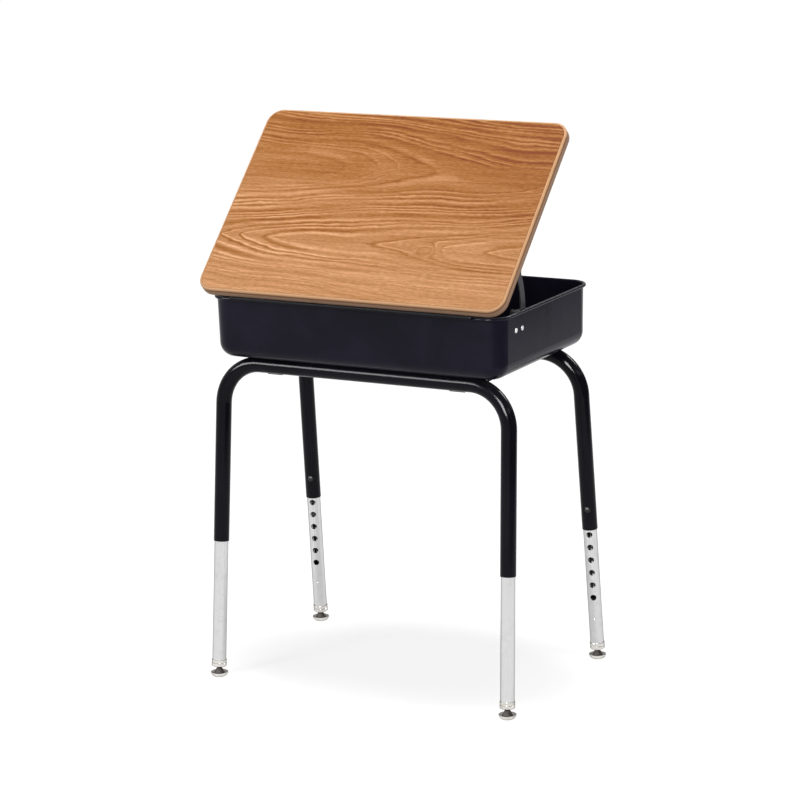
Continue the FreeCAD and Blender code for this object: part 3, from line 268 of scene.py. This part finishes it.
def wave(graph, where, name):
    """One of the waves that bend the rings, either side of zero."""
    *form, amount = WAVES[name]
    return swing(graph, graph.stretched(where, *form), amount)


def figure(graph, along, up, where):
    """Growth-ring count over the veneer print, and how fast it changes per metre.

    Two cathedrals face opposite ways with straight lines between them, and an eye stands in the lower one.
    """
    slow = wave(graph, where, "slow")
    dip = graph.times(spot(graph, along, up, DIP_SHARES), 0.06)
    line = graph.math("ADD", graph.math("ADD", up, slow), dip)
    turn = graph.times(graph.math("SUBTRACT", line, AXIS_SHARE), PRINT_TURN)
    rise = graph.math("ABSOLUTE", graph.math("SINE", graph.times(turn, 0.5)))
    fall = graph.math("ABSOLUTE", graph.math("COSINE", graph.times(turn, 0.5)))
    slope = graph.times(graph.times(graph.math("SQRT", rise), fall), 1.5)
    eye = spot(graph, along, up, EYE_SHARES)
    swell = graph.math("SINE", graph.math("SUBTRACT", graph.math("MULTIPLY_ADD", along, 9.67, -0.967), turn))
    climb = graph.math("MULTIPLY_ADD", swell, 0.5, graph.times(along, CLIMB_RINGS))
    wavy = graph.math("ADD", wave(graph, where, "ripple"), wave(graph, where, "quiver"))
    waver = graph.times(wavy, graph.math("MULTIPLY_ADD", slope, 0.8, 0.2))
    arches = graph.times(graph.math("POWER", rise, 1.5), -CATHEDRAL_RINGS)
    count = graph.math("ADD", arches, graph.math("ADD", climb, waver))
    count = graph.math("MULTIPLY_ADD", eye, -EYE_RINGS, count)
    uneven = graph.times(graph.math("SINE", graph.times(count, 1.9)), 0.3)
    around_eye = graph.math("MULTIPLY_ADD", eye, EYE_RINGS_PER_METRE, LEAST_RINGS_PER_METRE)
    steep = graph.math("ADD", graph.times(slope, RINGS_PER_METRE), around_eye)
    return graph.math("ADD", count, uneven), steep


def ring_lines(graph, count, steep):
    """Pale line beside a dark one at each ring, of one thickness wherever the rings run."""
    reach = graph.math("DIVIDE", graph.math("SUBTRACT", graph.math("FRACT", count), 0.5), steep)
    pale = bell(graph, reach, RING_LINE_WIDTH, RING_LINE_WIDTH)
    return graph.math("SUBTRACT", pale, bell(graph, reach, -RING_LINE_WIDTH, RING_LINE_WIDTH))


def presence(graph, along, up, where):
    """How strongly the ring lines show: in patches, clear at one spot, faint at another and at the hinge."""
    patchy = graph.fade(graph.stretched(where, (5, 26, 1), 2.0), 0.34, 0.62, 0.2, 1.0)
    shown = graph.math("MULTIPLY_ADD", spot(graph, along, up, CLEAR_SHARES), 0.7, patchy)
    shown = graph.times(shown, graph.fade(up, 0.06, 0.26, 0.3, 1.0))
    return graph.times(shown, graph.math("MULTIPLY_ADD", spot(graph, along, up, PLAIN_SHARES), -0.75, 1.0))


def woodgrain():
    """Flat-sawn veneer print: pale and dark ring lines, fine fibres and dark pores."""
    graph = material_graph("woodgrain_laminate")
    where = lid_coordinates(graph)
    parts = graph.add("SeparateXYZ", {0: where})
    across = parts.outputs[0]
    deep = parts.outputs[1]
    along = graph.math("MULTIPLY_ADD", across, -1 / LID_WIDTH, 0.5)
    up = graph.math("MULTIPLY_ADD", deep, -1 / LID_DEPTH, -LID_SETBACK / LID_DEPTH)
    count, steep = figure(graph, along, up, where)
    lines = graph.times(ring_lines(graph, count, steep), presence(graph, along, up, where))
    group = graph.math("SINE", graph.times(count, 1.75))
    level = graph.math("MULTIPLY_ADD", lines, 0.21, graph.times(group, 0.03))
    layers = {}
    for name, (*form, amount) in GRAINS.items():
        layers[name] = graph.stretched(where, *form)
        level = graph.math("ADD", level, swing(graph, layers[name], amount))
    pore = graph.fade(graph.stretched(where, *PORES), 0.66, 0.74)
    level = graph.math("SUBTRACT", level, graph.times(pore, 0.08))
    # Painted light: the print is made lighter towards the hinge edge and the +X end, and darker towards the
    # far edge, as a painted sheen and fall of light across the lid
    level = graph.math("ADD", level, graph.math("MULTIPLY_ADD", along, -0.06, 0.03))
    level = graph.math("ADD", level, graph.math("MULTIPLY_ADD", up, -0.34, 0.15))
    level = graph.math("ADD", level, graph.times(graph.times(along, up), -0.12))
    colour = graph.ramp(graph.math("ADD", level, 0.515), WOOD_TONES)
    seam = laminate_seam(graph, across, deep)
    colour = graph.mix(graph.times(seam, 0.75), colour, rgba((0.1, 0.045, 0.02)))
    gloss = graph.noise(graph.place(scale=(9, 9, 9), source=where), 3.0, 3.0)
    relief = graph.math("SUBTRACT", graph.times(layers["streaks"], 0.5), graph.times(pore, 0.5))
    return graph.surface(Base_Color=colour, Roughness=graph.fade(gloss, 0.3, 0.7, 0.4, 0.52),
                         Specular_IOR_Level=0.08, Normal=graph.bump(relief, 0.00008, 0.5))


def laminate_seam(graph, across, deep):
    """One along the laminate's outer line, where a thin dark line is drawn against the edge band."""
    corner = LID_CORNER - BAND_DEPTH
    middle = -LID_SETBACK - LID_DEPTH / 2
    x = graph.math("SUBTRACT", graph.math("ABSOLUTE", across), LID_WIDTH / 2 - LID_CORNER)
    y = graph.math("SUBTRACT", graph.math("ABSOLUTE", graph.math("SUBTRACT", deep, middle)),
                   LID_DEPTH / 2 - LID_CORNER)
    outside_x = graph.math("MAXIMUM", x, 0.0)
    outside_y = graph.math("MAXIMUM", y, 0.0)
    squares = graph.math("ADD", graph.times(outside_x, outside_x), graph.times(outside_y, outside_y))
    inside = graph.math("MINIMUM", graph.math("MAXIMUM", x, y), 0.0)
    distance = graph.math("ADD", graph.math("SQRT", squares), inside)
    return graph.fade(distance, corner - SEAM_WIDTH, corner - SEAM_WIDTH / 3)


def edge_band():
    """Tan plastic band, faint grain: painted shade reddening its foot, a dark line, a pale lip partly
    painted highlight.
    """
    graph = material_graph("edge_band")
    where = lid_coordinates(graph)
    height = graph.height(where)
    # Painted shade: the band darkens to a redder brown towards its foot, near the lid's underside
    low = graph.fade(height, *LOW_EDGE_SHADE, 1.0, 0.0)
    grain = graph.stretched(where, (18, 18, 900), 4.0, 0.6)
    patch = graph.stretched(where, (25, 25, 25), 3.0)
    base = graph.mix(grain, rgba((0.46, 0.28, 0.18)), rgba((0.6, 0.385, 0.265)))
    shaded = graph.mix(graph.times(low, 0.6), base, rgba((0.24, 0.095, 0.042)))
    worn = graph.mix(graph.fade(patch, 0.55, 0.8, 0.0, 0.3), shaded, rgba((0.3, 0.14, 0.075)))
    under = graph.times(graph.fade(height, *UNDER_LINE), graph.fade(height, *LIP_FOOT, 1.0, 0.0))
    lined = graph.mix(graph.times(under, 0.85), worn, rgba((0.3, 0.115, 0.035)))
    # Painted highlight: the lip is a paler copy of the band's tan plastic, partly its own tone and partly
    # lit as if from above
    lip = graph.mix(grain, rgba((0.68, 0.36, 0.17)), rgba((0.84, 0.48, 0.25)))
    colour = graph.mix(graph.fade(height, *LIP_FOOT), lined, lip)
    return graph.surface(Base_Color=colour, Roughness=graph.fade(patch, 0.3, 0.7, 0.5, 0.6),
                         Specular_IOR_Level=0.1, Normal=graph.bump(grain, 0.00006, 0.5))


def board():
    """Pressed wood chips of the core."""
    graph = material_graph("core_board")
    chips = graph.add("TexVoronoi", {"Vector": graph.place(), "Scale": 420.0, "Randomness": 1.0})
    tone = graph.add("SeparateXYZ", {0: chips.outputs["Color"]}).outputs[0]
    colour = graph.ramp(tone, CHIP_TONES)
    return graph.surface(Base_Color=colour, Roughness=0.85, Normal=graph.bump(tone, 0.0003, 0.6))


def backing():
    """Brown resin backing sheet with a mottled, lightly sanded face."""
    graph = material_graph("backing_sheet")
    where = lid_coordinates(graph)
    mottle = graph.stretched(where, (30, 30, 30), 6.0, 0.7)
    sanded = graph.stretched(where, (20, 700, 1), 3.0)
    base = graph.ramp(mottle, BACKING_TONES)
    colour = graph.mix(graph.fade(sanded, 0.45, 0.8, 0.0, 0.35), base, rgba((0.27, 0.2, 0.15)))
    return graph.surface(Base_Color=colour, Roughness=graph.fade(mottle, 0.3, 0.7, 0.55, 0.75),
                         Normal=graph.bump(sanded, 0.00008, 0.5))


def enamel(name, colour, dusty, gloss, peel, specular):
    """Baked enamel: dark paint with orange peel, handling smears and a little dust on what faces up."""
    graph = material_graph(name)
    where = graph.place()
    peeled = graph.noise(where, 650.0, 2.0, 0.4)
    smear = graph.noise(graph.place(scale=(9, 9, 9)), 1.0, 5.0, 0.6, 0.6)
    specks = graph.noise(where, 2300.0, 1.0, 0.4)
    facing = graph.height(graph.add("TexCoord").outputs["Normal"])
    dust = graph.times(graph.fade(facing, 0.55, 1.0), graph.fade(smear, 0.35, 0.75, 0.1, 0.55))
    handled = graph.mix(graph.fade(smear, 0.3, 0.7), rgba(colour), tinted(colour, 1.5))
    speckled = graph.mix(graph.fade(specks, 0.7, 0.76, 0.0, 0.12), handled, rgba((0.2, 0.2, 0.2)))
    painted = graph.mix(graph.times(dust, dusty), speckled, rgba((0.16, 0.16, 0.165)))
    rough = graph.math("ADD", graph.fade(smear, 0.3, 0.7, gloss, gloss + 0.08), graph.times(dust, 0.1))
    return graph.surface(Base_Color=painted, Roughness=rough, Specular_IOR_Level=specular,
                         Normal=graph.bump(peeled, peel, 0.5))


def plated(name, bright, dull, gloss, rough, stretch, scratch, edge=(1, 1, 1)):
    """Plated or bare metal: fine drawn scratches, and dull patches where it is handled or tarnished."""
    graph = material_graph(name)
    where = graph.place()
    drawn = graph.noise(graph.place(scale=stretch), 1.0, 4.0, 0.65)
    patch = graph.noise(where, 60.0, 5.0, 0.6)
    fog = graph.noise(where, 14.0, 3.0, 0.6)
    share = graph.times(graph.fade(patch, 0.42, 0.75), graph.fade(fog, 0.35, 0.65, 0.25, 1.0))
    tone = graph.mix(share, rgba(bright), rgba(dull))
    toned = graph.mix(graph.fade(drawn, 0.55, 0.85, 0.0, 0.35), tone, tinted(bright, 0.7))
    roughness = graph.math("ADD", graph.fade(fog, 0.3, 0.7, gloss, rough), graph.times(share, 0.1))
    return graph.surface(Base_Color=toned, Metallic=1.0, Roughness=roughness, Specular_Tint=rgba(edge),
                         Normal=graph.bump(drawn, scratch, 0.5))


def moulded(name, dark, light, rough, grain, depth):
    """Moulded rubber or plastic with a fine matt grain and a little ingrained dirt."""
    graph = material_graph(name)
    where = graph.place()
    fine = graph.noise(where, grain, 3.0, 0.6)
    patch = graph.noise(where, 70.0, 4.0, 0.6)
    colour = graph.mix(graph.fade(patch, 0.3, 0.7), rgba(dark), rgba(light))
    return graph.surface(Base_Color=colour, Roughness=graph.fade(fine, 0.3, 0.7, rough, rough + 0.15),
                         Specular_IOR_Level=0.3, Normal=graph.bump(fine, depth, 0.6))


def dress(materials):
    """Give every carried-over node the material of its record slot."""
    slots = {part["node"]: part["material_slot"] for part in frame["record"]["subparts"]}
    for name, node in frame["nodes"].items():
        node.data.materials.clear()
        node.data.materials.append(materials[slots[name]])


# Stage, lights and camera

def linked(name, data):
    """New object in the scene for a mesh, lamp or camera."""
    item = bpy.data.objects.new(name, data)
    bpy.context.scene.collection.objects.link(item)
    return item


def staged_sheet(name, corners, faces, material):
    mesh = bpy.data.meshes.new(name)
    mesh.from_pydata(corners, [], faces)
    mesh.materials.append(material)
    sheet = linked(name, mesh)
    return sheet


def floor():
    """Pale floor keeping the object's shadow, glowing to white for camera and reflections, dimmer in a
    painted shadow pool.
    """
    graph = material_graph("studio_floor")
    path = graph.add("LightPath")
    seen = graph.math("ADD", path.outputs["Is Camera Ray"], path.outputs["Is Glossy Ray"])
    seen = graph.math("ADD", seen, path.outputs["Is Transmission Ray"], clamp=True)
    # Painted shadow: the glow is dimmer in an oval pool under the desk, so the floor is greyer there and the
    # desk's own shadow shows
    half_long, half_wide = SHADOW_POOL_HALF_SIZE
    oval = graph.place(scale=(1 / half_long, 1 / half_wide, 1))
    away = graph.add("VectorMath", {0: oval}, operation="LENGTH").outputs["Value"]
    level = graph.fade(away, *SHADOW_POOL_FADE_SHARES, FLOOR_GLOW_IN_SHADOW_POOL, FLOOR_GLOW_FAR)
    matt = graph.add("BsdfDiffuse", {"Color": rgba(FLOOR_GREY)})
    glow = graph.add("Emission", {"Color": rgba((1, 1, 1)), "Strength": graph.times(seen, level)})
    material = graph.show(graph.add("AddShader", {0: matt.outputs[0], 1: glow.outputs[0]}))
    turns = ((-1, -1), (1, -1), (1, 1), (-1, 1))
    corners = [(FLOOR_HALF_SIZE * x, FLOOR_HALF_SIZE * y, 0.0) for x, y in turns]
    staged_sheet("studio_floor", corners, [(0, 1, 2, 3)], material)


def card(name, form, points):
    """Upright sheet over a line of floor points, which only reflections see."""
    foot, top, level = form
    graph = material_graph(name)
    material = graph.show(graph.add("Emission", {"Color": rgba((1, 1, 1)), "Strength": level}))
    corners = [(x, y, z) for x, y in points for z in (foot, top)]
    faces = [(i, i + 2, i + 3, i + 1) for i in range(0, len(corners) - 2, 2)]
    sheet = staged_sheet(name, corners, faces, material)
    for rays in ("camera", "diffuse", "transmission", "volume_scatter", "shadow"):
        setattr(sheet, "visible_" + rays, False)


def around(first, last):
    """Floor points on an arc about the desk, in degrees from the hinge side towards the sitter's left."""
    turns = [math.radians(first + (last - first) * step / BAND_STEPS) for step in range(BAND_STEPS + 1)]
    return [(-BAND_RADIUS * math.sin(turn), BAND_RADIUS * math.cos(turn)) for turn in turns]


def cards():
    card("dark_card", DARK_CARD, DARK_LINE)
    card("grey_card", GREY_CARD, GREY_LINE)
    card("band_left", BAND_LEFT, around(*BAND_LEFT_ARC))
    card("band_right", BAND_RIGHT, around(*BAND_RIGHT_ARC))
    card("rear_light", REAR_LIGHT, REAR_LINE)


def world():
    """Pale behind the floor, dimmer overhead in reflections, and a plain level of light otherwise."""
    graph = Graph(bpy.data.worlds.new("studio"), "OutputWorld")
    path = graph.add("LightPath")
    straight = graph.math("ADD", path.outputs["Is Camera Ray"], path.outputs["Is Transmission Ray"])
    plain = graph.add("MapRange", {"Value": straight, "To Min": WORLD_LEVEL}).outputs["Result"]
    rise = graph.height(graph.add("TexCoord").outputs["Generated"])
    mirrored = graph.fade(rise, *OVERHEAD_RISE, WORLD_IN_REFLECTIONS, WORLD_OVERHEAD)
    level = graph.choose(path.outputs["Is Glossy Ray"], plain, mirrored)
    bpy.context.scene.world = graph.show(graph.add("Background", {"Strength": level}))


def lamp(name, place, size, power):
    """Soft rectangular lamp aimed at the desk; it doesn't show itself to the camera."""
    data = bpy.data.lights.new(name, "AREA")
    data.shape = "RECTANGLE"
    data.size, data.size_y = size
    data.energy = power
    light = linked(name, data)
    light.location = place
    aim = Vector(LAMP_TARGET) - Vector(place)
    light.rotation_euler = aim.to_track_quat("-Z", "Y").to_euler()
    light.visible_camera = False


def camera():
    data = bpy.data.cameras.new("camera")
    data.lens = CAMERA_LENS
    data.sensor_width = CAMERA_SENSOR
    data.clip_end = CAMERA_REACH
    view = linked("camera", data)
    azimuth = math.radians(CAMERA_AZIMUTH)
    elevation = math.radians(CAMERA_ELEVATION)
    back = Vector((math.sin(azimuth) * math.cos(elevation), -math.cos(azimuth) * math.cos(elevation),
                   math.sin(elevation)))
    right = Vector((math.cos(azimuth), math.sin(azimuth), 0))
    up = back.cross(right)
    level = Matrix((right, up, back)).transposed().to_4x4()
    roll = Matrix.Rotation(math.radians(-CAMERA_ROLL), 4, "Z")
    view.matrix_world = Matrix.Translation(CAMERA_PLACE) @ level @ roll
    bpy.context.scene.camera = view


# Enamels: colour, dust, roughness, depth of the orange peel, specular level
# Plated metals: bright and dull colour, two roughnesses, scratches per metre and their depth, edge tint
# Moulded pieces: dark and light colour, roughness, grain per metre and its depth
MATERIALS = {
    "tube_paint": enamel("tube_paint", (0.0066, 0.0059, 0.0104), 0.3, 0.1, 0.00002, 0.09),
    "box_paint": enamel("box_paint", (0.0125, 0.0115, 0.0228), 0.4, 0.19, 0.00004, 0.08),
    "stay_steel": enamel("stay_steel", (0.055, 0.052, 0.058), 0.3, 0.42, 0.00003, 0.45),
    "hinge_steel": enamel("hinge_steel", (0.009, 0.009, 0.012), 0.3, 0.55, 0.00003, 0.06),
    "leg_chrome": plated("leg_chrome", (0.61, 0.61, 0.61), (0.54, 0.54, 0.54), 0.1, 0.16, (240, 240, 5),
                         0.00001, (0.3, 0.3, 0.3)),
    "nickel": plated("nickel", (0.66, 0.64, 0.61), (0.42, 0.41, 0.37), 0.12, 0.22, (90, 90, 700),
                     0.00002, (0.2, 0.2, 0.2)),
    "zinc": plated("zinc", (0.4, 0.4, 0.41), (0.28, 0.28, 0.27), 0.3, 0.42, (500, 500, 500), 0.00002),
    "rivet": plated("rivet", (0.82, 0.82, 0.82), (0.7, 0.7, 0.7), 0.5, 0.6, (700, 700, 700), 0.00002),
    "black_screw": moulded("black_screw", (0.012, 0.012, 0.013), (0.03, 0.03, 0.031), 0.34, 900.0, 0.00003),
    "nylon": moulded("nylon", (0.58, 0.56, 0.48), (0.72, 0.7, 0.62), 0.42, 900.0, 0.00002),
    "bumper_rubber": moulded("bumper_rubber", (0.02, 0.02, 0.02), (0.045, 0.044, 0.042), 0.7, 1400.0,
                             0.00005),
    "cushion_rubber": moulded("cushion_rubber", (0.03, 0.022, 0.017), (0.06, 0.046, 0.036), 0.6, 1400.0,
                              0.00005),
    "core_board": board(),
    "woodgrain_laminate": woodgrain(),
    "backing_sheet": backing(),
    "edge_band": edge_band(),
}

dress(MATERIALS)
floor()
cards()
world()
for lamp_name, (lamp_place, lamp_size, lamp_power) in LAMPS.items():
    lamp(lamp_name, lamp_place, lamp_size, lamp_power)
camera()
bpy.context.scene.view_settings.view_transform = "Standard"
